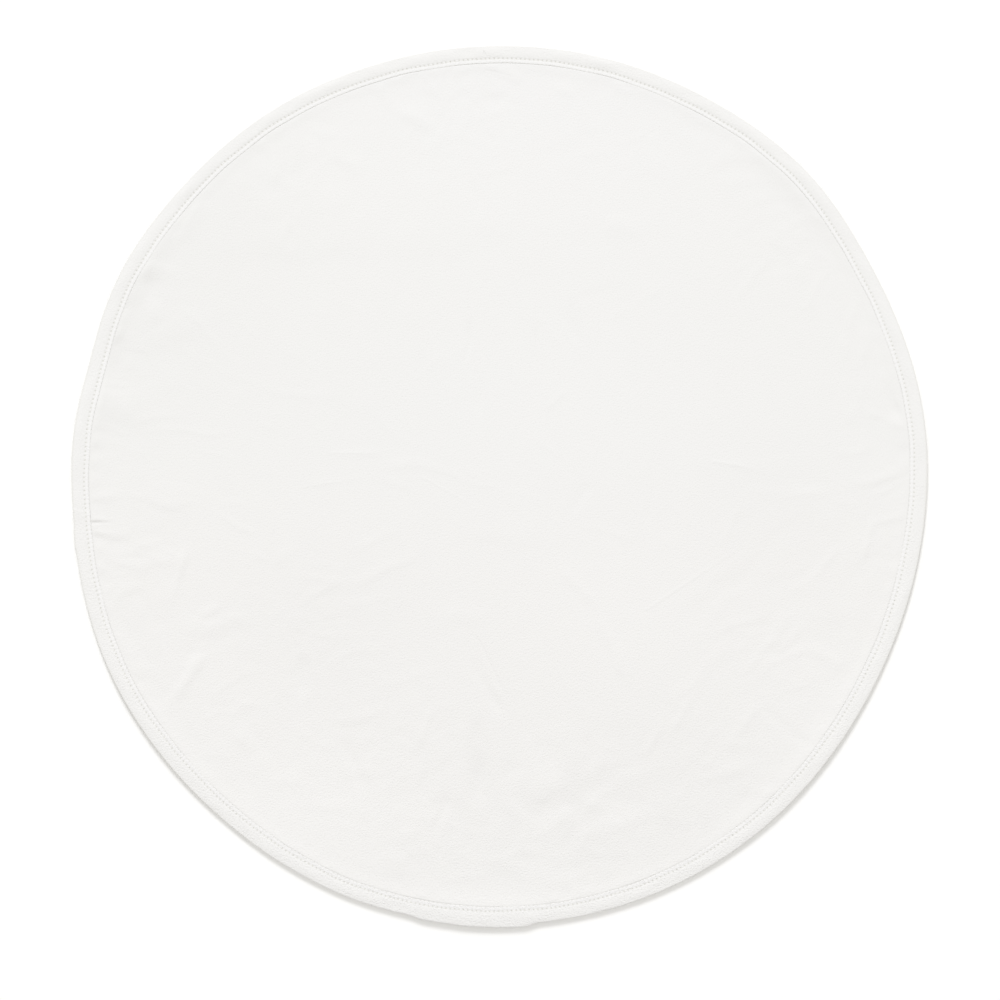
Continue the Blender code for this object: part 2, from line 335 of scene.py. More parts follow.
LOWER_RIGHT_FOLDS = (
    (154, -202, 222, -138, 0, 0.38, 10, 9),
    (222, -178, 274, -112, 1, 0.55, 9, 8),
    (252, -155, 283, -124, 0, 0.55, 6, 6),
    (236, -175, 292, -148, 4, 0.55, 7, 6),
    (219, -176, 243, -157, 0, 0.24, 6, 5),
    (157, -232, 181, -190, 1, 0.44, 7, 6),
    (131, -250, 151, -216, 0, 0.30, 7, 6),
    (215, -240, 241, -196, 2, 0.44, 8, 7),
    (232, -198, 300, -258, 3, -0.60, 8, 8),
    (198, -237, 236, -238, 0, 0.65, 9, 5),
    (166, -243, 202, -262, 0, 0.28, 7, 5),
    (180, -274, 240, -256, 0, 0.95, 13, 10),
    (130, -288, 192, -288, 0, 0.95, 12, 10),
    (144, -311, 184, -307, 0, 0.65, 9, 8),
    (278, -145, 317, -171, 0, 0.44, 12, 10),
    (222, -274, 256, -286, 0, 0.44, 8, 7),
)
FoldGroup = namedtuple("FoldGroup", "folds strength")
FOLD_GROUPS = (
    FoldGroup(folds=TOP_FOLDS, strength=1.20),
    FoldGroup(folds=RIGHT_FOLDS, strength=0.66),
    FoldGroup(folds=MIDDLE_FOLDS, strength=1.00),
    FoldGroup(folds=LEFT_FOLDS, strength=1.30),
    FoldGroup(folds=LOWER_LEFT_FOLDS, strength=0.90),
    FoldGroup(folds=LOWER_FOLDS, strength=0.68),
    FoldGroup(folds=LOWER_RIGHT_FOLDS, strength=0.70),
)

# How the folds and crumples are shaped. A fold rises more the more it runs up the picture.
END_SHARE = 0.32
ACROSS_STRENGTH = 0.50
UPRIGHT_STRENGTH = 1.45
NEAR_SHARE = 1.5
SLOW_WANDER = 1.3
QUICK_WANDER = 0.35
FOLD_VARIATION = 0.30
FULLER_RANGE = (0.2, 2.0)
WIDTH_VARIATION = 0.15
WIDER_RANGE = (0.6, 1.5)
CRUMPLE_BEND = 4.0
RIPPLE_SHARE = 0.6

# Fields of waves that make the cloth uneven, in millimetres
Waves = namedtuple("Waves", "shortest longest seed")
FIELD_WAVES = 44
SLOW_X = Waves(35.0, 80.0, 41)
QUICK_X = Waves(10.0, 25.0, 42)
SLOW_Y = Waves(35.0, 80.0, 43)
QUICK_Y = Waves(10.0, 25.0, 44)
FULLER = Waves(50.0, 120.0, 45)
WIDER = Waves(50.0, 120.0, 46)
BENT_X = Waves(40.0, 90.0, 51)
BENT_Y = Waves(40.0, 90.0, 52)
CREASED = Waves(14.0, 34.0, 53)
RIPPLED = Waves(9.0, 20.0, 54)
ROLLING = Waves(26.0, 60.0, 55)

# Where the cloth is more crumpled, in millimetres: fine is the rise of small wrinkles, broad of wide ones
# Columns: middle, reach, fine, broad
Spot = namedtuple("Spot", "middle reach fine broad")
LEAST_FINE = 0.004
LEAST_BROAD = 0.01
CRUMPLED_SPOTS = (
    Spot((-190, 300), 130, 0.05, 0.10),
    Spot((-40, 350), 110, 0.06, 0.08),
    Spot((110, 335), 110, 0.04, 0.08),
    Spot((270, 240), 110, 0.04, 0.07),
    Spot((-350, 150), 110, 0.05, 0.16),
    Spot((-370, 60), 90, 0.05, 0.10),
    Spot((-350, -60), 110, 0.06, 0.07),
    Spot((-280, -150), 130, 0.05, 0.08),
    Spot((-170, -130), 130, 0.05, 0.05),
    Spot((-210, -250), 120, 0.05, 0.09),
    Spot((-90, -240), 110, 0.06, 0.10),
    Spot((-60, -320), 100, 0.07, 0.14),
    Spot((70, -300), 120, 0.09, 0.28),
    Spot((190, -260), 110, 0.07, 0.15),
    Spot((270, -160), 110, 0.05, 0.10),
    Spot((340, -60), 110, 0.04, 0.07),
    Spot((360, 60), 100, 0.04, 0.07),
)

# The cloth near its edge, as insets: where folds fade, where it climbs into the binding, where that lifts it
FREE_FROM = 16.3
FREE_AT = 19.5
PRESSED_AT = 16.2
NOTCH_END = 16.6
NOTCH_DEPTH = 0.24
RIM_SWELL = 0.42
RIM_SWELL_REACH = 11.0
UNDER_CLIMB = 17.9
LIFTED_ZONE = 36.0

# Gathers round the rim: how high, how many to a turn, how far in, and where they are stronger
PUCKER_RISE = 0.16
PUCKER_COUNTS = (63, 81, 97, 118, 139)
PUCKER_SEED = 5
PUCKER_FULL = 16.7
PUCKER_END = 32.0
PUCKER_LEAST = 0.3
PUCKERED_STRETCHES = (
    Bump(185, 1.0, 45),
    Bump(262, 0.8, 40),
    Bump(350, 0.6, 40),
)

# Painted light and shade: patches of the cloth made lighter or darker in place of the shading of its swells
# and creases, in millimetres. The change is a share of the brightness.
# Columns: middle, wide, tall, change
Patch = namedtuple("Patch", "middle wide tall change")
PAINTED_LIGHT_PATCHES = (
    Patch((-330, 150), 190, 150, -0.008),
    Patch((-250, 260), 130, 110, -0.007),
    Patch((60, 80), 230, 140, 0.006),
    Patch((-160, -120), 150, 100, -0.008),
    Patch((110, -110), 140, 100, 0.007),
    Patch((-190, -310), 200, 120, 0.018),
    Patch((-290, -200), 110, 100, 0.006),
    Patch((250, -20), 100, 110, -0.006),
    Patch((320, -190), 120, 120, 0.009),
    Patch((150, -250), 120, 80, -0.007),
    Patch((0, 330), 420, 230, 0.009),
    Patch((60, -380), 200, 70, 0.010),
    Patch((-20, -258), 22, 54, -0.011),
    Patch((-136, -217), 22, 9, -0.011),
    Patch((-95, -357), 24, 10, -0.013),
    Patch((5, -353), 30, 10, -0.014),
    Patch((86, -337), 34, 11, -0.014),
    Patch((70, -287), 26, 22, -0.012),
    Patch((112, -299), 44, 15, 0.012),
    Patch((42, -250), 26, 20, 0.009),
    Patch((158, -308), 20, 13, -0.012),
    Patch((212, -296), 54, 16, 0.011),
    Patch((-354, 131), 14, 42, -0.012),
    Patch((-345, 57), 54, 16, -0.004),
    Patch((-177, 214), 150, 18, -0.004),
    Patch((108, 226), 16, 24, -0.003),
    Patch((71, 153), 10, 20, -0.006),
    Patch((307, -126), 34, 18, -0.009),
)
# Painted cool tint of the light from the top, in the same columns: the change is a share added to blue
PAINTED_COOL_LIGHT_PATCHES = (
    Patch((70, 390), 420, 260, 0.006),
    Patch((60, 60), 420, 260, 0.003),
)

# Sharp short tucks, in metres, too narrow for the mesh: they go into the relief
# Columns: start, end, reach, depth
Tuck = namedtuple("Tuck", "start end reach depth")
TUCKS = (
    Tuck((-0.3860, -0.0338), (-0.3520, -0.0328), 0.0026, 3.4),
    Tuck((-0.0120, 0.3835), (0.0200, 0.3760), 0.0020, 0.7),
    Tuck((-0.3800, -0.0465), (-0.3430, -0.0450), 0.0036, 0.5),
    Tuck((-0.1560, 0.0310), (-0.1050, 0.0310), 0.0020, -0.5),
    Tuck((-0.1840, -0.0010), (-0.1140, 0.0100), 0.0022, -0.3),
    Tuck((-0.0700, 0.0080), (-0.0180, -0.0200), 0.0022, -0.5),
    Tuck((-0.0200, -0.1400), (0.0080, -0.1980), 0.0026, 1.0),
    Tuck((0.1360, -0.1130), (0.2420, -0.0430), 0.0026, -0.8),
    Tuck((0.1980, 0.0230), (0.2420, 0.0160), 0.0030, -0.9),
    Tuck((-0.0285, 0.1640), (-0.0160, 0.0570), 0.0028, 0.9),
    Tuck((0.0336, 0.1430), (0.0459, 0.0320), 0.0028, 0.8),
)
BINDING_TUCKS = (
    Tuck((-0.0142, 0.4005), (-0.0126, 0.3962), 0.0011, 1.3),
)

# Sewing and the unevenness of the binding: millimetres and degrees, with the thread's size in metres
STITCHES = 602
SECTIONS_EACH = 4
PATH_POINTS_EACH = 4
WIDTH_EXTRA = 0.42
WIDTH_WANDER = 0.24
WIDTH_COUNTS = (5, 9, 14, 23, 37, 52)
WIDTH_SEED = 11
CROWN_WANDER = 0.16
CROWN_COUNTS = (11, 19, 31, 47, 71)
CROWN_SEED = 17
CROWN_INSET = 5.0
CROWN_REACH = 6.0
STILL_INSET = 6.0
STANDING_OUT_ZONE = 9.0
GROOVE_REACH = 1.2
HOLE_DEPTH = 0.26
LIP_INSET = 14.3
LIP_CREST = 13.8
LIP_REACH = 2.4
LIP_PULL = 0.10
EDGE_SCALLOP = -0.28
SCALLOP_ZONE = 1.5
SHARP_ANGLE = 60.0
JOIN_ANGLE = 183.7
JOIN_RADIUS = 400.0
JOIN_SLANT = 0.35
JOIN_FRONT = 1.2
JOIN_LENGTH = 14.0
JOIN_RISE = 0.22
LAP_FROM = 2.0
THREAD_SIZE = (0.0034, 0.00055, 0.00042)
THREAD_SEGMENTS = 8
THREAD_RINGS = 6
STITCH_TURN = 0.07
STITCH_SPREAD = 0.08
TURN_SEED = 3
SPREAD_SEED = 4
TOP_STITCH_HEIGHT = 4.00
UNDER_STITCH_HEIGHT = 0.24

# Shades painted on the mesh: a share of the brightness, and how many millimetres across the edge it reaches
Shade = namedtuple("Shade", "share reach")
NOTCH_SHADE = Shade(0.015, 1.3)
HOLE_SHADE = Shade(0.15, 1.4)
LIP_LIGHT = Shade(0.024, 1.9)
PULL_SHADE = Shade(0.10, 0.9)
EDGE_SHADE_REACH = 2.4
SIDE_SHADE = 0.062
TOP_SHADE = 0.028
SHADE_WARMTH = 0.35
BINDING_WARMTH = 0.6
# Painted warm tint of the dimmer light towards the lower edge: a share added to red, from one y to another in
# millimetres
WARM_SHARE = 0.004
WARM_FROM = 60.0
WARM_OVER = 160.0

# Colours, gloss and relief. The nap stands up more towards the lower edge, from one y to another, in metres.
CLOTH_COLOR = (0.832, 0.826, 0.812)
BINDING_COLOR = (0.838, 0.832, 0.819)
THREAD_COLOR = (0.870, 0.862, 0.845)
FLOOR_COLOR = (0.945, 0.940, 0.928)
CLOTH_RELIEF = 0.000158
CLOTH_BLOTCH = 0.0015
BINDING_RELIEF = 0.00026
BINDING_BLOTCH = 0.0015
BLOTCH_LOW = 0.3
BLOTCH_HIGH = 0.7
NAP_FROM = 0.03
NAP_FULL_AT = -0.38
TUCK_FADES_FROM = 0.35
CLOTH_ROUGHNESS = 0.95
BINDING_ROUGHNESS = 0.9
THREAD_ROUGHNESS = 0.7
FLOOR_ROUGHNESS = 0.9
COTTON_SPECULAR = 0.25
PLAIN_SPECULAR = 0.2
DIFFUSE_ROUGHNESS = 0.35

# Studio, in metres and degrees
FLOOR_HALF = 3.0
FLOOR_GAP = 0.0003
KEY_TILT = 52.0
KEY_TOWARD = 97.0
KEY_DISTANCE = 13.0
KEY_WIDTH = 4.5
KEY_POWER = 850.0
SKY_STRENGTH = 0.81
SKY_COLOR = (1.0, 0.992, 0.972)
KEY_COLOR = (1.0, 1.018, 1.065)
CAMERA_HEIGHT = 4.0
SENSOR_WIDTH = 36.0
VIEW_WIDTH = 0.9222
VIEW_MIDDLE = (0.0005, -0.0125)


def turn_between(angle, other):
    """Degrees from other to angle, the short way round."""
    return (angle - other + 180.0) % 360.0 - 180.0


def smooth_share(share):
    """Eases from zero to one as the share does."""
    share = np.clip(share, 0.0, 1.0)
    return share * share * (3.0 - 2.0 * share)


def soft_hump(distance, reach):
    """One at no distance, falling smoothly to zero at the reach."""
    return 0.5 + 0.5 * np.cos(np.pi * np.clip(np.abs(distance) / reach, 0.0, 1.0))


def wavy(angle, counts, seed):
    """Smooth unevenness round the edge, about one high, from waves that close up after a full turn."""
    draw = np.random.default_rng(seed)
    total = np.zeros_like(angle)
    for count in counts:
        total += np.sin(np.radians(angle) * count + draw.uniform(0.0, 2.0 * math.pi))
    return total / math.sqrt(0.5 * len(counts))


def seam_shape(angle):
    """The even outline that the seam and the cloth follow, before it is fitted to the frame."""
    low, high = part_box("binding")
    half_width = 0.5 * (high[0] - low[0]) / MM
    half_length = 0.5 * (high[1] - low[1]) / MM
    turn = np.radians(angle)
    radius = 1.0 / np.hypot(np.cos(turn) / half_width, np.sin(turn) / half_length)
    for bump in OUTLINE_BUMPS:
        radius += bump.rise * np.exp(-0.5 * (turn_between(angle, bump.angle) / bump.width) ** 2)
    return radius


def edge_rise(angle):
    """How far the binding's outer edge stands out beyond the even outline."""
    radius = np.zeros_like(angle)
    for stretch in OUTLINE_STRETCHES:
        from_middle = turn_between(angle, stretch.middle)
        rising = np.tanh((from_middle + stretch.half) / stretch.side)
        falling = np.tanh((from_middle - stretch.half) / stretch.side)
        radius += stretch.rise * 0.5 * (rising - falling)
    return radius


class Outline:
    """The blanket's outer edge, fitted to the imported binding's box. Lengths are in millimetres."""

    STEPS = 7200

    def __init__(self):
        self.angles = np.linspace(0.0, 360.0, self.STEPS + 1)
        self.radii = seam_shape(self.angles)
        outer = self.radii + edge_rise(self.angles)
        x = outer * np.cos(np.radians(self.angles))
        y = outer * np.sin(np.radians(self.angles))
        low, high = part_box("binding")
        self.scale_x = (high[0] - low[0]) / MM / (x.max() - x.min())
        self.scale_y = (high[1] - low[1]) / MM / (y.max() - y.min())
        self.middle_x = 0.5 * (x.max() + x.min())
        self.middle_y = 0.5 * (y.max() + y.min())

    def radius(self, angle):
        """The even outline's distance from the oval's middle."""
        return np.interp(angle % 360.0, self.angles, self.radii)

    def place(self, angle, radius):
        """Positions from the blanket's middle, for a direction and a distance from the oval's middle."""
        x = (radius * np.cos(np.radians(angle)) - self.middle_x) * self.scale_x
        y = (radius * np.sin(np.radians(angle)) - self.middle_y) * self.scale_y
        return x, y

    def even_angles(self, count, inset):
        """Angles that part the line at one inset into equal lengths."""
        x, y = self.place(self.angles, self.radii - inset)
        walked = np.concatenate(([0.0], np.cumsum(np.hypot(np.diff(x), np.diff(y)))))
        return np.interp(np.arange(count) * walked[-1] / count, walked, self.angles)


outline = Outline()


def random_field(x, y, waves):
    """Smooth unevenness over the cloth, about one high, from waves in all directions."""
    draw = np.random.default_rng(waves.seed)
    total = np.zeros_like(x)
    for share in np.linspace(0.0, 1.0, FIELD_WAVES):
        length = waves.shortest * (waves.longest / waves.shortest) ** share
        turn = draw.uniform(0.0, 2.0 * math.pi)
        walk = x * math.cos(turn) + y * math.sin(turn)
        total += np.sin(2.0 * math.pi * walk / length + draw.uniform(0.0, 2.0 * math.pi))
    return total * math.sqrt(2.0 / FIELD_WAVES)


def near_fold(fold, x, y):
    """Marks the points that a fold may reach."""
    reach = NEAR_SHARE * max(fold.left, fold.right) + abs(fold.bow)
    near_x = np.abs(x - 0.5 * (fold.x + fold.to_x)) < 0.5 * abs(fold.to_x - fold.x) + reach
    near_y = np.abs(y - 0.5 * (fold.y + fold.to_y)) < 0.5 * abs(fold.to_y - fold.y) + reach
    return near_x & near_y


def fold_rise(fold, x, y, wider):
    """One fold's rise at points near it, in millimetres."""
    run_x = fold.to_x - fold.x
    run_y = fold.to_y - fold.y
    length = math.hypot(run_x, run_y)
    from_x = x - fold.x
    from_y = y - fold.y
    along = (from_x * run_x + from_y * run_y) / length
    share = np.clip(along / length, 0.0, 1.0)
    across = (from_y * run_x - from_x * run_y) / length - fold.bow * 4.0 * share * (1.0 - share)
    side_reach = np.where(across > 0.0, fold.left, fold.right) * wider
    fading = smooth_share(share / END_SHARE) * smooth_share((1.0 - share) / END_SHARE)
    upright = (run_y / length) ** 2
    rise = fold.rise * (ACROSS_STRENGTH + (UPRIGHT_STRENGTH - ACROSS_STRENGTH) * upright)
    return rise * soft_hump(across, side_reach) * fading


def fold_heights(x, y):
    """The folds' summed rise at every point, in millimetres."""
    total = np.zeros_like(x)
    wander_x = SLOW_WANDER * random_field(x, y, SLOW_X) + QUICK_WANDER * random_field(x, y, QUICK_X)
    wander_y = SLOW_WANDER * random_field(x, y, SLOW_Y) + QUICK_WANDER * random_field(x, y, QUICK_Y)
    x = x + wander_x
    y = y + wander_y
    fuller = np.clip(1.0 + FOLD_VARIATION * random_field(x, y, FULLER), *FULLER_RANGE)
    wider = np.clip(1.0 + WIDTH_VARIATION * random_field(x, y, WIDER), *WIDER_RANGE)
    for group in FOLD_GROUPS:
        for row in group.folds:
            fold = Fold(*row)
            near = near_fold(fold, x, y)
            total[near] += group.strength * fold_rise(fold, x[near], y[near], wider[near]) * fuller[near]
    return total


def crumples(x, y):
    """Small soft wrinkles between the folds, stronger in the places of the table."""
    fine = np.full_like(x, LEAST_FINE)
    broad = np.full_like(x, LEAST_BROAD)
    for spot in CRUMPLED_SPOTS:
        away = np.hypot(x - spot.middle[0], y - spot.middle[1])
        share = soft_hump(away, spot.reach)
        fine = np.maximum(fine, spot.fine * share)
        broad = np.maximum(broad, spot.broad * share)
    bend_x = x + CRUMPLE_BEND * random_field(x, y, BENT_X)
    bend_y = y + CRUMPLE_BEND * random_field(x, y, BENT_Y)
    creased = 1.0 - np.abs(random_field(bend_x, bend_y, CREASED))
    rippled = random_field(bend_x, bend_y, RIPPLED)
    rolling = random_field(bend_x, bend_y, ROLLING)
    return fine * (creased + RIPPLE_SHARE * rippled) + broad * rolling


def edge_lift(angle):
    """How far the edge stands off the floor, in millimetres."""
    lift = np.zeros_like(angle)
    for wave in EDGE_WAVES:
        lift += wave.rise * soft_hump(turn_between(angle, wave.angle), 2.0 * wave.width)
    return lift


def cloth_lift(angle, inset):
    """How far the lifted edge takes the cloth beside it with it."""
    return edge_lift(angle) * smooth_share((LIFTED_ZONE - inset) / (LIFTED_ZONE - BINDING_WIDTH))


def pucker_strength(angle):
    """Share of the full puckering at each part of the rim."""
    strength = np.full_like(angle, PUCKER_LEAST)
    for stretch in PUCKERED_STRETCHES:
        share = soft_hump(turn_between(angle, stretch.angle), stretch.width)
        strength += (stretch.rise - PUCKER_LEAST) * share
    return strength


def rim_puckers(angle, inset):
    """Small radial gathers in the cloth just inside the binding."""
    wave = wavy(angle, PUCKER_COUNTS, PUCKER_SEED)
    fading = smooth_share((PUCKER_END - inset) / (PUCKER_END - PUCKER_FULL))
    return PUCKER_RISE * pucker_strength(angle) * wave * fading


def cloth_top(angle, inset, x, y):
    """Height of the cloth's upper face."""
    free = smooth_share((inset - FREE_FROM) / (FREE_AT - FREE_FROM))
    loose = fold_heights(x, y) + crumples(x, y) + rim_puckers(angle, inset)
    notch = NOTCH_DEPTH * smooth_share((NOTCH_END - inset) / (NOTCH_END - PRESSED_AT))
    swell = RIM_SWELL * soft_hump(inset - NOTCH_END, RIM_SWELL_REACH)
    return SHEET + loose * free - notch + swell + cloth_lift(angle, inset)


def cloth_under(angle, inset, x, y):
    """Height of the cloth's lower face: it lies on the floor except where a fold or the binding lifts it."""
    top = cloth_top(angle, inset, x, y)
    pressed = smooth_share((UNDER_CLIMB - inset) / (UNDER_CLIMB - PRESSED_AT))
    free = np.maximum(0.0, top - SHEET)
    return free * (1.0 - pressed) + (PRESSED_LOW + cloth_lift(angle, inset)) * pressed


def disc_grid(rings, edge_insets):
    """A square grid laid out as rings: each point's direction, its inset and its position."""
    steps = np.arange(-rings, rings + 1)
    column, row = np.meshgrid(steps, steps, indexing="ij")
    column = column.ravel()
    row = row.ravel()
    ring = np.maximum(np.abs(column), np.abs(row))
    walked = np.select(
        [(column == ring) & (row >= 0), row == ring, column == -ring, row == -ring],
        [row, 2 * ring - column, 4 * ring - row, 6 * ring + column],
        8 * ring + row,
    )
    angle = 45.0 * walked / np.maximum(ring, 1)
    inner = rings - len(edge_insets) + 1
    edge = outline.radius(angle)
    insets = np.array(edge_insets)
    beyond = np.clip(ring - inner, 0, len(edge_insets) - 1)
    radius = np.where(ring > inner, edge - insets[beyond], (edge - insets[0]) * ring / inner)
    x, y = outline.place(angle, radius)
    return angle, edge - radius, x, y


def grid_faces(rings, first):
    """The four-sided faces of a disc grid, seen from above, and its outer points in order of direction."""
    wide = 2 * rings + 1
    index = first + np.arange(wide * wide).reshape(wide, wide)
    faces = np.stack((index[:-1, :-1], index[1:, :-1], index[1:, 1:], index[:-1, 1:]), axis=-1).reshape(-1, 4)
    right = index[-1, rings:]
    top = index[::-1, -1][1:]
    left = index[0, ::-1][1:]
    low = index[:, 0][1:]
    last = index[-1, :rings][1:]
    return faces, np.concatenate((right, top, left, low, last))


def rim_faces(top_rim, under_rim):
    """Three-sided faces down the cut edge, from the fine upper rim to the coarse lower one."""
    ratio = len(top_rim) // len(under_rim)
    faces = []
    for step in range(len(under_rim)):
        here = int(under_rim[step])
        there = int(under_rim[(step + 1) % len(under_rim)])
        for part in range(ratio):
            at = step * ratio + part
            low = here if part < ratio // 2 else there
            faces.append((int(top_rim[(at + 1) % len(top_rim)]), int(top_rim[at]), low))
        faces.append((here, there, int(top_rim[step * ratio + ratio // 2])))
    return faces


def new_object(name, data):
    """A new object in the scene."""
    made = bpy.data.objects.new(name, data)
    bpy.context.scene.collection.objects.link(made)
    return made


def mesh_object(name, points, faces, material):
    """A smooth-shaded piece from points in millimetres."""
    mesh = bpy.data.meshes.new(name)
    mesh.from_pydata((np.asarray(points) * MM).tolist(), [], faces)
    mesh.validate()
    mesh.shade_smooth()
    mesh.materials.append(material)
    return new_object(name, mesh)


def write_tint(mesh, light, warm, cool):
    """Writes the painted light and shade on the mesh's points, which the material reads: warm adds red, cool
    adds blue.
    """
    tint = mesh.attributes.new("painted_light_tint", "FLOAT_COLOR", "POINT")
    colors = np.column_stack((light * (1.0 + warm), light, light * (1.0 + cool), np.ones(len(light))))
    tint.data.foreach_set("color", colors.ravel())


def painted_warm_tint(y):
    """Painted warm tint of the dimmer light: the cloth and the binding are a little warmer towards the lower
    edge. Takes y in millimetres.
    """
    return WARM_SHARE * smooth_share((WARM_FROM - y) / WARM_OVER)


def add_patches(values, patches, points):
    """Adds the change of every patch of a table to the points' values."""
    for patch in patches:
        from_x = (points[:, 0] - patch.middle[0]) / patch.wide
        from_y = (points[:, 1] - patch.middle[1]) / patch.tall
        values += patch.change * soft_hump(np.hypot(from_x, from_y), 1.0)


def paint_cloth_light_and_shade(mesh, inset):
    """Painted light and shade on the cloth: patches made lighter or darker, a cool tint on the upper part, a
    warm tint towards the lower edge, and painted shade in the notch beside the binding.
    """
    where = np.empty(len(mesh.vertices) * 3)
    mesh.vertices.foreach_get("co", where)
    where = where.reshape(-1, 3) / MM
    light = np.ones(len(where))
    cool = np.zeros(len(where))
    add_patches(light, PAINTED_LIGHT_PATCHES, where)
    add_patches(cool, PAINTED_COOL_LIGHT_PATCHES, where)
    light -= NOTCH_SHADE.share * soft_hump(inset - PRESSED_AT, NOTCH_SHADE.reach)
    write_tint(mesh, light, painted_warm_tint(where[:, 1]), cool)


def make_cloth(material):
    """One thin sheet: fine above with all its folds, coarse below, closed round the cut edge."""
    angle, inset, x, y = disc_grid(TOP_RINGS, EDGE_INSETS)
    top = np.column_stack((x, y, cloth_top(angle, inset, x, y)))
    top_quads, top_rim = grid_faces(TOP_RINGS, 0)
    angle, under_inset, x, y = disc_grid(UNDER_RINGS, UNDER_INSETS)
    under = np.column_stack((x, y, cloth_under(angle, under_inset, x, y)))
    under_quads, under_rim = grid_faces(UNDER_RINGS, len(top))
    faces = top_quads.tolist() + under_quads[:, ::-1].tolist() + rim_faces(top_rim, under_rim)
    piece = mesh_object("cloth_sheet", np.vstack((top, under)), faces, material)
    paint_cloth_light_and_shade(piece.data, np.concatenate((inset, under_inset)))
    return piece


def width_shift(angle):
    """How far the seam and the inner edge stand off their even place, in millimetres."""
    return WIDTH_EXTRA + WIDTH_WANDER * wavy(angle, WIDTH_COUNTS, WIDTH_SEED)


def shifted_inset(inset, angle):
    """A section's inset where the band is a little wider or narrower. The outer edge stays."""
    return inset + width_shift(angle) * smooth_share((inset - STILL_INSET) / (STITCH_INSET - STILL_INSET))


def join_step(angle, inset):
    """The binding's two ends lap at the join: a slanting step that falls away again."""
    slant = JOIN_SLANT * (inset - 0.5 * BINDING_WIDTH)
    arc = np.radians(turn_between(angle, JOIN_ANGLE)) * JOIN_RADIUS - slant
    rising = smooth_share(arc / JOIN_FRONT + 0.5)
    falling = 1.0 - smooth_share((arc - JOIN_FRONT) / JOIN_LENGTH)
    return JOIN_RISE * rising * falling


def binding_height(point, angle, phase):
    """Height of a point of the binding's upper face. Phase is 1 at a needle hole and 0 between."""
    groove = soft_hump(point.inset - STITCH_INSET, GROOVE_REACH)
    lip = soft_hump(point.inset - LIP_INSET, LIP_REACH)
    crown = soft_hump(point.inset - CROWN_INSET, CROWN_REACH)
    drawn = -HOLE_DEPTH * groove * phase - LIP_PULL * lip * phase
    uneven = CROWN_WANDER * wavy(angle, CROWN_COUNTS, CROWN_SEED) * crown
    lapped = join_step(angle, point.inset) * smooth_share(point.height / LAP_FROM - 1.0)
    return point.height + drawn + uneven + lapped


def binding_light(point, angle, phase):
    """Painted shade on the binding: darker in the needle holes, beside them and along the outer fold, and a
    little lighter along the lip.
    """
    light = np.ones_like(angle)
    if point not in BINDING_TOP:
        return light
    light -= HOLE_SHADE.share * phase * soft_hump(point.inset - STITCH_INSET, HOLE_SHADE.reach)
    light += LIP_LIGHT.share * soft_hump(point.inset - LIP_CREST, LIP_LIGHT.reach)
    light -= PULL_SHADE.share * phase * soft_hump(point.inset - BINDING_WIDTH, PULL_SHADE.reach)
    # Painted shade along the outer fold: strongest on the sides, less at the top and none at the bottom, as
    # the light falls
    upward = np.sin(np.radians(angle))
    edge_shade = SIDE_SHADE * (1.0 - np.abs(upward)) + TOP_SHADE * np.maximum(0.0, upward)
    light -= edge_shade * soft_hump(point.inset, EDGE_SHADE_REACH)
    return light


def make_binding(material):
    """The strip folded over the cloth's edge, drawn in at every stitch."""
    angles = outline.even_angles(STITCHES * SECTIONS_EACH, STITCH_INSET)
    edge = outline.radius(angles)
    lift = edge_lift(angles)
    phase = np.where(np.arange(len(angles)) % SECTIONS_EACH == 0, 1.0, 0.0)
    columns = []
    lights = []
    for point in BINDING_TOP + BINDING_UNDER + BINDING_INSIDE:
        inset = shifted_inset(point.inset, angles)
        if point in BINDING_TOP:
            height = binding_height(point, angles, phase)
            inset = inset + EDGE_SCALLOP * phase * smooth_share((point.inset - LIP_INSET) / SCALLOP_ZONE)
        else:
            height = np.full_like(angles, point.height)
        standing_out = edge_rise(angles) * smooth_share((STANDING_OUT_ZONE - point.inset) / STANDING_OUT_ZONE)
        x, y = outline.place(angles, edge + standing_out - inset)
        columns.append(np.column_stack((x, y, height + lift)))
        lights.append(binding_light(point, angles, phase))
    light = np.stack(lights, axis=1).ravel()
    points = np.stack(columns, axis=1).reshape(-1, 3)
    around = len(columns)
    here = np.arange(len(angles))[:, None] * around
    there = np.roll(here, -1, axis=0)
    low = np.arange(around)[None, :]
    high = np.roll(low, -1, axis=1)
    faces = np.stack((here + low, here + high, there + high, there + low), axis=-1).reshape(-1, 4)
    piece = mesh_object("binding_strip", points, faces.tolist(), material)
    piece.data.set_sharp_from_angle(angle=math.radians(SHARP_ANGLE))
    # Painted shade and light on the binding, warmer where the painted shade is darker
    write_tint(piece.data, light, BINDING_WARMTH * painted_warm_tint(points[:, 1]), SHADE_WARMTH * (light - 1.0))
    return piece


def seam_path(name, height, low):
    """A closed line of edges along the seam, for the stitches to follow."""
    half_stitch = 0.5 * 360.0 / STITCHES
    angles = outline.even_angles(STITCHES * PATH_POINTS_EACH, STITCH_INSET) + half_stitch
    inset = shifted_inset(STITCH_INSET, angles)
    x, y = outline.place(angles, outline.radius(angles) - inset)
    lapped = np.zeros_like(angles) if low else join_step(angles, STITCH_INSET)
    z = height + edge_lift(angles) + lapped
    points = np.column_stack((x, y, z)) * MM
    edges = [(step, (step + 1) % len(points)) for step in range(len(points))]
    mesh = bpy.data.meshes.new(name)
    mesh.from_pydata(points.tolist(), edges, [])
    return new_object(name, mesh)


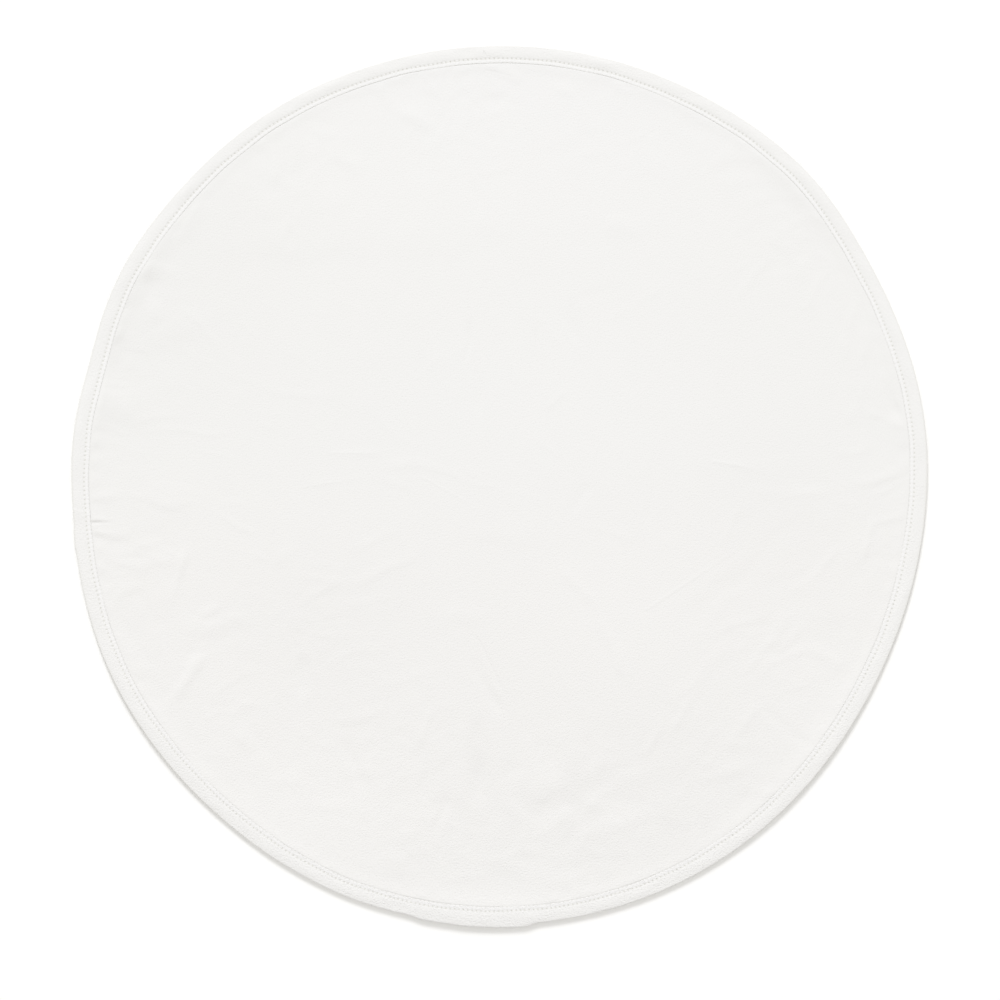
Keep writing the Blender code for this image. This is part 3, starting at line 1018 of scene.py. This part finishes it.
def new_group(name, kind, inputs, outputs):
    """A node group with named sockets, and its input and output nodes."""
    group = bpy.data.node_groups.new(name, kind)
    for title, socket_type, value in inputs:
        socket = group.interface.new_socket(title, in_out="INPUT", socket_type=socket_type)
        if value is not None:
            socket.default_value = value
    for title, socket_type in outputs:
        group.interface.new_socket(title, in_out="OUTPUT", socket_type=socket_type)
    return group, group.nodes.new("NodeGroupInput"), group.nodes.new("NodeGroupOutput")


def math_node(nodes, operation, vectors=False):
    """A node for one operation on numbers or on vectors."""
    node = nodes.new("ShaderNodeVectorMath" if vectors else "ShaderNodeMath")
    node.operation = operation
    return node


def range_node(nodes, from_min, from_max, to_min, to_max):
    """A node that maps one range to another. What is None keeps its usual value or is linked later."""
    node = nodes.new("ShaderNodeMapRange")
    values = {"From Min": from_min, "From Max": from_max, "To Min": to_min, "To Max": to_max}
    for title, value in values.items():
        if value is not None:
            node.inputs[title].default_value = value
    return node


def random_node(nodes, seed):
    """A node that gives each stitch its own number."""
    node = nodes.new("FunctionNodeRandomValue")
    node.data_type = "FLOAT"
    node.inputs["Seed"].default_value = seed
    return node


def connect(tree, *wires):
    """Links nodes. Each wire names a node and its output, then a node and its input."""
    for source, output, target, entry in wires:
        tree.links.new(source.outputs[output], target.inputs[entry])


def stitch_tree():
    """Geometry nodes: one small thread loop at every even step of a line, each a little different."""
    tree, given, result = new_group(
        "stitch row",
        "GeometryNodeTree",
        inputs=(
            ("Geometry", "NodeSocketGeometry", None),
            ("Stitches", "NodeSocketInt", None),
            ("Thread Size", "NodeSocketVector", None),
            ("Turn", "NodeSocketFloat", None),
            ("Size Spread", "NodeSocketFloat", None),
            ("Thread", "NodeSocketMaterial", None),
        ),
        outputs=(("Geometry", "NodeSocketGeometry"),),
    )
    nodes = tree.nodes
    line = nodes.new("GeometryNodeMeshToCurve")
    steps = nodes.new("GeometryNodeCurveToPoints")
    steps.mode = "COUNT"
    align = nodes.new("FunctionNodeAlignRotationToVector")
    align.axis = "X"
    turn = random_node(nodes, TURN_SEED)
    minus = math_node(nodes, "MULTIPLY")
    minus.inputs[1].default_value = -1.0
    about = nodes.new("ShaderNodeCombineXYZ")
    turned = nodes.new("FunctionNodeRotateRotation")
    turned.rotation_space = "LOCAL"
    spread = random_node(nodes, SPREAD_SEED)
    less = math_node(nodes, "SUBTRACT")
    less.inputs[0].default_value = 1.0
    more = math_node(nodes, "ADD")
    more.inputs[0].default_value = 1.0
    size = math_node(nodes, "SCALE", vectors=True)
    ball = nodes.new("GeometryNodeMeshUVSphere")
    ball.inputs["Segments"].default_value = THREAD_SEGMENTS
    ball.inputs["Rings"].default_value = THREAD_RINGS
    ball.inputs["Radius"].default_value = 0.5
    place = nodes.new("GeometryNodeInstanceOnPoints")
    real = nodes.new("GeometryNodeRealizeInstances")
    soft = nodes.new("GeometryNodeSetShadeSmooth")
    paint = nodes.new("GeometryNodeSetMaterial")
    connect(
        tree,
        (given, "Geometry", line, "Mesh"),
        (line, "Curve", steps, "Curve"),
        (given, "Stitches", steps, "Count"),
        (steps, "Tangent", align, "Vector"),
        (given, "Turn", minus, 0),
        (align, "Rotation", turned, "Rotation"),
        (about, "Vector", turned, "Rotate By"),
        (given, "Size Spread", less, 1),
        (given, "Size Spread", more, 1),
        (given, "Thread Size", size, 0),
        (steps, "Points", place, "Points"),
        (ball, "Mesh", place, "Instance"),
        (turned, "Rotation", place, "Rotation"),
        (size, "Vector", place, "Scale"),
        (place, "Instances", real, "Geometry"),
        (real, "Geometry", soft, "Geometry"),
        (soft, "Geometry", paint, "Geometry"),
        (given, "Thread", paint, "Material"),
        (paint, "Geometry", result, "Geometry"),
    )
    link_random(tree, turn, minus.outputs["Value"], given.outputs["Turn"], about.inputs["Z"])
    link_random(tree, spread, less.outputs["Value"], more.outputs["Value"], size.inputs["Scale"])
    return tree


def link_random(tree, node, lowest, highest, target):
    """Links a random number's limits and its result, by the number sockets among the node's others."""
    limits = [socket for socket in node.inputs if socket.type == "VALUE" and socket.name in ("Min", "Max")]
    results = [socket for socket in node.outputs if socket.type == "VALUE"]
    tree.links.new(lowest, limits[0])
    tree.links.new(highest, limits[1])
    tree.links.new(results[0], target)


def make_stitches(name, tree, height, low, material):
    """One row of stitches as a plain mesh."""
    path = seam_path(name + "_line", height, low)
    row = path.modifiers.new("row", "NODES")
    row.node_group = tree
    values = {
        "Stitches": STITCHES,
        "Thread Size": THREAD_SIZE,
        "Turn": STITCH_TURN,
        "Size Spread": STITCH_SPREAD,
        "Thread": material,
    }
    for item in tree.interface.items_tree:
        if item.in_out == "INPUT" and item.name in values:
            row[item.identifier] = values[item.name]
    evaluated = path.evaluated_get(bpy.context.evaluated_depsgraph_get())
    mesh = bpy.data.meshes.new_from_object(evaluated)
    mesh.name = name
    path.modifiers.remove(row)
    bpy.data.objects.remove(path)
    return new_object(name, mesh)


def nap_group():
    """Shared effect: the relief and the faint blotches of brushed cotton."""
    group, given, result = new_group(
        "brushed nap",
        "ShaderNodeTree",
        inputs=(
            ("Tuft Size", "NodeSocketFloat", 0.0016),
            ("Fibre Size", "NodeSocketFloat", 0.0013),
            ("Fibre Share", "NodeSocketFloat", 0.9),
            ("Blotch Size", "NodeSocketFloat", 0.02),
            ("Near Fullness", "NodeSocketFloat", 2.4),
        ),
        outputs=(("Relief", "NodeSocketFloat"), ("Blotches", "NodeSocketFloat")),
    )
    nodes = group.nodes
    where = nodes.new("ShaderNodeTexCoord")
    noises = {}
    for name in ("Tuft Size", "Fibre Size", "Blotch Size"):
        repeat = math_node(nodes, "DIVIDE")
        repeat.inputs[0].default_value = 1.0
        noise = nodes.new("ShaderNodeTexNoise")
        noise.inputs["Detail"].default_value = 1.0
        connect(
            group,
            (given, name, repeat, 1),
            (where, "Object", noise, "Vector"),
            (repeat, "Value", noise, "Scale"),
        )
        noises[name] = noise
    fibres = math_node(nodes, "MULTIPLY")
    relief = math_node(nodes, "ADD")
    apart = nodes.new("ShaderNodeSeparateXYZ")
    fuller = range_node(nodes, NAP_FROM, NAP_FULL_AT, 1.0, None)
    raised = math_node(nodes, "MULTIPLY")
    connect(
        group,
        (noises["Fibre Size"], 0, fibres, 0),
        (given, "Fibre Share", fibres, 1),
        (noises["Tuft Size"], 0, relief, 0),
        (fibres, "Value", relief, 1),
        (where, "Object", apart, "Vector"),
        (apart, "Y", fuller, "Value"),
        (given, "Near Fullness", fuller, "To Max"),
        (relief, "Value", raised, 0),
        (fuller, "Result", raised, 1),
        (raised, "Value", result, "Relief"),
        (noises["Blotch Size"], 0, result, "Blotches"),
    )
    return group


def tuck_group():
    """Shared effect: one short narrow crease between two points, as a height."""
    group, given, result = new_group(
        "tuck",
        "ShaderNodeTree",
        inputs=(
            ("Start", "NodeSocketVector", None),
            ("Run", "NodeSocketVector", None),
            ("Reach", "NodeSocketFloat", 0.002),
            ("Depth", "NodeSocketFloat", 1.0),
        ),
        outputs=(("Height", "NodeSocketFloat"),),
    )
    nodes = group.nodes
    where = nodes.new("ShaderNodeTexCoord")
    flat = math_node(nodes, "MULTIPLY", vectors=True)
    flat.inputs[1].default_value = (1.0, 1.0, 0.0)
    start_to = math_node(nodes, "SUBTRACT", vectors=True)
    walked = math_node(nodes, "DOT_PRODUCT", vectors=True)
    whole = math_node(nodes, "DOT_PRODUCT", vectors=True)
    share = math_node(nodes, "DIVIDE")
    share.use_clamp = True
    nearest = math_node(nodes, "SCALE", vectors=True)
    apart = math_node(nodes, "DISTANCE", vectors=True)
    across = range_node(nodes, 0.0, None, -1.0, 0.0)
    across.interpolation_type = "SMOOTHSTEP"
    fading = range_node(nodes, 1.0, TUCK_FADES_FROM, None, None)
    fading.interpolation_type = "SMOOTHSTEP"
    deep = math_node(nodes, "MULTIPLY")
    faded = math_node(nodes, "MULTIPLY")
    connect(
        group,
        (where, "Object", flat, 0),
        (flat, "Vector", start_to, 0),
        (given, "Start", start_to, 1),
        (start_to, "Vector", walked, 0),
        (given, "Run", walked, 1),
        (given, "Run", whole, 0),
        (given, "Run", whole, 1),
        (walked, "Value", share, 0),
        (whole, "Value", share, 1),
        (given, "Run", nearest, 0),
        (share, "Value", nearest, "Scale"),
        (start_to, "Vector", apart, 0),
        (nearest, "Vector", apart, 1),
        (apart, "Value", across, "Value"),
        (given, "Reach", across, "From Max"),
        (share, "Value", fading, "Value"),
        (across, "Result", deep, 0),
        (given, "Depth", deep, 1),
        (deep, "Value", faded, 0),
        (fading, "Result", faded, 1),
        (faded, "Value", result, "Height"),
    )
    return group


def add_tucks(material, group, tucks):
    """Adds every tuck of a table to the height under the material's bump."""
    nodes = material.node_tree.nodes
    links = material.node_tree.links
    bump = nodes["Bump"]
    height = bump.inputs["Height"].links[0].from_socket
    for tuck in tucks:
        line = nodes.new("ShaderNodeGroup")
        line.node_tree = group
        line.inputs["Start"].default_value = (*tuck.start, 0.0)
        line.inputs["Run"].default_value = (tuck.end[0] - tuck.start[0], tuck.end[1] - tuck.start[1], 0.0)
        line.inputs["Reach"].default_value = tuck.reach
        line.inputs["Depth"].default_value = tuck.depth
        total = math_node(nodes, "ADD")
        links.new(height, total.inputs[0])
        links.new(line.outputs["Height"], total.inputs[1])
        height = total.outputs["Value"]
    links.new(height, bump.inputs["Height"])


def add_painted_light_tint(material):
    """Multiplies the material's colour with the painted light and shade written on the mesh."""
    nodes = material.node_tree.nodes
    links = material.node_tree.links
    color = nodes["Principled BSDF"].inputs["Base Color"]
    tint = nodes.new("ShaderNodeAttribute")
    tint.attribute_name = "painted_light_tint"
    both = math_node(nodes, "MULTIPLY", vectors=True)
    links.new(color.links[0].from_socket, both.inputs[0])
    links.new(tint.outputs["Color"], both.inputs[1])
    links.new(both.outputs["Vector"], color)


def new_material(name, roughness, specular):
    """A material with its gloss set, and its shader."""
    material = bpy.data.materials.new(name)
    material.use_nodes = True
    shader = material.node_tree.nodes["Principled BSDF"]
    shader.inputs["Roughness"].default_value = roughness
    shader.inputs["Specular IOR Level"].default_value = specular
    return material, shader


def cotton_material(name, group, color, relief, blotch, roughness):
    """Off-white cotton with the shared nap."""
    material, shader = new_material(name, roughness, COTTON_SPECULAR)
    shader.inputs["Diffuse Roughness"].default_value = DIFFUSE_ROUGHNESS
    nodes = material.node_tree.nodes
    nap = nodes.new("ShaderNodeGroup")
    nap.node_tree = group
    bump = nodes.new("ShaderNodeBump")
    bump.inputs["Strength"].default_value = 1.0
    bump.inputs["Distance"].default_value = relief
    tone = range_node(nodes, BLOTCH_LOW, BLOTCH_HIGH, 1.0 - blotch, 1.0 + blotch)
    shade = math_node(nodes, "SCALE", vectors=True)
    shade.inputs[0].default_value = color
    connect(
        material.node_tree,
        (nap, "Relief", bump, "Height"),
        (nap, "Blotches", tone, "Value"),
        (tone, "Result", shade, "Scale"),
        (shade, "Vector", shader, "Base Color"),
        (bump, "Normal", shader, "Normal"),
    )
    return material


def plain_material(name, color, roughness):
    """One even colour."""
    material, shader = new_material(name, roughness, PLAIN_SPECULAR)
    shader.inputs["Base Color"].default_value = (*color, 1.0)
    return material


def make_floor(material):
    """A plain pale floor just under the blanket."""
    mesh = bpy.data.meshes.new("floor")
    corners = ((-1, -1), (1, -1), (1, 1), (-1, 1))
    points = [(x * FLOOR_HALF, y * FLOOR_HALF, -FLOOR_GAP) for x, y in corners]
    mesh.from_pydata(points, [], [(0, 1, 2, 3)])
    mesh.materials.append(material)
    return new_object("floor", mesh)


def make_key():
    """A large soft light that shines at the blanket's middle."""
    lamp = bpy.data.lights.new("key", "AREA")
    lamp.shape = "DISK"
    lamp.size = KEY_WIDTH
    lamp.energy = KEY_POWER
    lamp.color = KEY_COLOR
    light = new_object("key", lamp)
    tilt = math.radians(KEY_TILT)
    turn = math.radians(KEY_TOWARD)
    light.location = (
        KEY_DISTANCE * math.sin(tilt) * math.cos(turn),
        KEY_DISTANCE * math.sin(tilt) * math.sin(turn),
        KEY_DISTANCE * math.cos(tilt),
    )
    light.rotation_euler = (tilt, 0.0, turn + 0.5 * math.pi)
    light.visible_camera = False


def make_sky():
    """Even light from all round."""
    world = bpy.data.worlds.new("studio")
    world.use_nodes = True
    background = world.node_tree.nodes["Background"]
    background.inputs["Color"].default_value = (*SKY_COLOR, 1.0)
    background.inputs["Strength"].default_value = SKY_STRENGTH
    bpy.context.scene.world = world


def make_camera():
    """Straight down on the blanket, a little below its middle as in the photo."""
    lens = bpy.data.cameras.new("camera")
    lens.sensor_width = SENSOR_WIDTH
    lens.lens = SENSOR_WIDTH * CAMERA_HEIGHT / VIEW_WIDTH
    camera = new_object("camera", lens)
    camera.location = (VIEW_MIDDLE[0], VIEW_MIDDLE[1], CAMERA_HEIGHT)
    bpy.context.scene.camera = camera


nap = nap_group()
cloth_look = cotton_material("brushed cotton", nap, CLOTH_COLOR, CLOTH_RELIEF, CLOTH_BLOTCH, CLOTH_ROUGHNESS)
tuck_effect = tuck_group()
add_tucks(cloth_look, tuck_effect, TUCKS)
add_painted_light_tint(cloth_look)
binding_look = cotton_material(
    "binding cotton", nap, BINDING_COLOR, BINDING_RELIEF, BINDING_BLOTCH, BINDING_ROUGHNESS
)
add_tucks(binding_look, tuck_effect, BINDING_TUCKS)
add_painted_light_tint(binding_look)
thread_look = plain_material("sewing thread", THREAD_COLOR, THREAD_ROUGHNESS)
floor_look = plain_material("pale floor", FLOOR_COLOR, FLOOR_ROUGHNESS)

cloth = make_cloth(cloth_look)
binding = make_binding(binding_look)
stitching = stitch_tree()
top_row = make_stitches("stitches_top", stitching, TOP_STITCH_HEIGHT, False, thread_look)
under_row = make_stitches("stitches_under", stitching, UNDER_STITCH_HEIGHT, True, thread_look)

for piece, slot in ((cloth, "cloth"), (binding, "binding"), (top_row, "binding"), (under_row, "binding")):
    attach(piece, "root")
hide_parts("cloth")
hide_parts("binding")

make_floor(floor_look)
make_key()
make_sky()
make_camera()
bpy.context.scene.view_settings.view_transform = "Standard"
